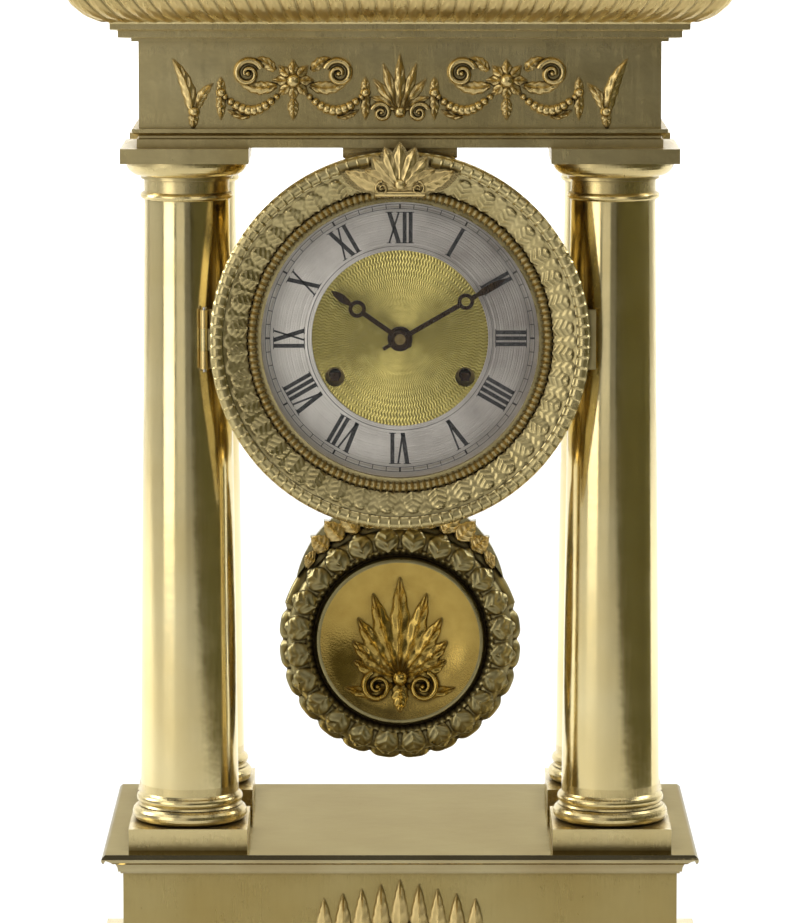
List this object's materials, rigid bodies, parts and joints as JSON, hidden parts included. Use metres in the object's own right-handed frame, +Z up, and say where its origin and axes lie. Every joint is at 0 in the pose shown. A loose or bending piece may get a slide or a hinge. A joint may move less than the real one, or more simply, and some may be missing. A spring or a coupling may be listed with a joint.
{
  "type": "mantel clock",
  "caption": "Portico mantel clock: columns on a moulded base carry a corniced entablature, with a round dial and an ornamental pendulum hung between them.",
  "frame": {"origin": "centre of the footprint, on the surface the clock stands on", "axes": "+Z up; -Y the side that the dial faces; +X to the right as seen from the front"},
  "size_m": [0.25, 0.1686, 0.422],
  "materials": {
    "polished_gilt": "mirror-polished gilt bronze, with soft wear and faint handling marks",
    "cast_gilt": "chased gilt bronze with matt recesses and burnished high points",
    "dull_gilt": "toned gilt bronze with dark patina in the hollows",
    "dial_gilt": "engine-turned gilt centre",
    "silvered": "silvered brass, fine circular grain, black numerals",
    "movement_brass": "planished and lacquered brass",
    "movement_steel": "grey polished steel",
    "blued_steel": "dark brown-blued steel",
    "glass": "clear flat glass"
  },
  "bodies": {
    "case": {"feet": "polished_gilt", "foot_moulding_faces": "cast_gilt", "foot_moulding_ends": "cast_gilt", "base_face_panels": "polished_gilt", "base_end_panels": "polished_gilt", "base_top_plate": "polished_gilt", "base_front_mount": "cast_gilt", "tie_rods": "movement_steel", "tie_rod_nuts": "movement_steel", "column_bases": "polished_gilt", "column_shaft_front_left": "polished_gilt", "column_shaft_front_right": "polished_gilt", "column_shaft_rear_left": "polished_gilt", "column_shaft_rear_right": "polished_gilt", "column_capitals": "polished_gilt", "architrave": "polished_gilt", "frieze_faces": "polished_gilt", "frieze_ends": "polished_gilt", "cornice_faces": "cast_gilt", "cornice_ends": "cast_gilt", "top_slab": "polished_gilt", "frieze_mount": "cast_gilt", "drum_top_mount": "cast_gilt", "drum_bolts": "movement_steel", "drum_shell": "polished_gilt", "bezel_seat": "movement_brass", "dial_plate": "dial_gilt", "chapter_ring": "silvered", "dial_feet": "movement_brass", "bezel_hinge_pin": "movement_steel", "rear_rim": "movement_brass", "rear_hinge_pin": "movement_steel", "movement_front_plate": "movement_brass", "movement_back_plate": "movement_brass", "movement_pillars": "movement_brass", "movement_straps": "movement_brass", "suspension_cock": "movement_brass", "bell": "movement_brass", "bell_stand": "movement_brass"},
    "bezel_door": {"bezel": "dull_gilt", "bezel_crest": "cast_gilt", "bezel_glass": "glass"},
    "rear_cover": {"rear_door": "movement_brass"},
    "minute": {"centre_wheel": "movement_brass", "cannon_pinion": "movement_brass", "minute_hand": "blued_steel"},
    "motion": {"minute_wheel": "movement_brass"},
    "hour": {"hour_wheel": "movement_brass", "hour_hand": "blued_steel"},
    "going": {"going_barrel": "movement_brass"},
    "going_key": {"going_arbor": "movement_steel"},
    "strike": {"strike_barrel": "movement_brass"},
    "strike_key": {"strike_arbor": "movement_steel"},
    "escape": {"escape_wheel": "movement_brass"},
    "crutch": {"anchor_crutch": "movement_steel"},
    "pendulum": {"pendulum_rod": "movement_brass", "pendulum_bob": "dull_gilt", "bob_crest": "cast_gilt"},
    "regulator": {"suspension_knob": "movement_brass"},
    "hammer": {"hammer": "movement_steel"}
  },
  "joints": [
    {"name": "bezel_hinge", "type": "hinge", "parent": "case", "child": "bezel_door", "pos_m": [-0.0718, -0.0557, 0.2725], "axis": [0, 0, -1], "range_deg": [0, 100]},
    {"name": "rear_door_hinge", "type": "hinge", "parent": "case", "child": "rear_cover", "pos_m": [-0.055, 0.0297, 0.2725], "axis": [0, 0, 1], "range_deg": [0, 88]},
    {"name": "minute_hand_turn", "type": "hinge", "parent": "case", "child": "minute", "pos_m": [0, -0.05, 0.2725], "axis": [0, 1, 0], "continuous": true},
    {"name": "minute_wheel_turn", "type": "hinge", "parent": "case", "child": "motion", "pos_m": [0.0101, -0.047, 0.28999], "axis": [0, 1, 0], "continuous": true},
    {"name": "hour_hand_turn", "type": "hinge", "parent": "case", "child": "hour", "pos_m": [0, -0.05, 0.2725], "axis": [0, 1, 0], "continuous": true},
    {"name": "going_barrel_turn", "type": "hinge", "parent": "case", "child": "going", "pos_m": [0.024, -0.03, 0.25808], "axis": [0, 1, 0], "continuous": true},
    {"name": "going_winding", "type": "hinge", "parent": "case", "child": "going_key", "pos_m": [0.024, -0.03, 0.25808], "axis": [0, 1, 0], "continuous": true},
    {"name": "strike_barrel_turn", "type": "hinge", "parent": "case", "child": "strike", "pos_m": [-0.024, -0.03, 0.25808], "axis": [0, 1, 0], "continuous": true},
    {"name": "strike_winding", "type": "hinge", "parent": "case", "child": "strike_key", "pos_m": [-0.024, -0.03, 0.25808], "axis": [0, 1, 0], "continuous": true},
    {"name": "escape_wheel_turn", "type": "hinge", "parent": "case", "child": "escape", "pos_m": [0, -0.018, 0.2905], "axis": [0, 1, 0], "continuous": true},
    {"name": "pendulum_swing", "type": "hinge", "parent": "case", "child": "pendulum", "pos_m": [0, 0, 0.3025], "axis": [0, 1, 0], "range_deg": [-4, 4]},
    {"name": "crutch_swing", "type": "hinge", "parent": "case", "child": "crutch", "pos_m": [0, -0.004, 0.3025], "axis": [0, 1, 0], "range_deg": [-4, 4]},
    {"name": "suspension_winding", "type": "hinge", "parent": "case", "child": "regulator", "pos_m": [0.007, 0, 0.3075], "axis": [1, 0, 0], "continuous": true},
    {"name": "hammer_lift", "type": "hinge", "parent": "case", "child": "hammer", "pos_m": [-0.028, 0.006, 0.2985], "axis": [0, 1, 0], "range_deg": [0, 15]}
  ],
  "couplings": [
    {"joint": "minute_wheel_turn", "follows": "minute_hand_turn", "ratio": -0.33333},
    {"joint": "hour_hand_turn", "follows": "minute_hand_turn", "ratio": 0.083333},
    {"joint": "going_barrel_turn", "follows": "minute_hand_turn", "ratio": 0.016667},
    {"joint": "crutch_swing", "follows": "pendulum_swing", "ratio": 1}
  ]
}
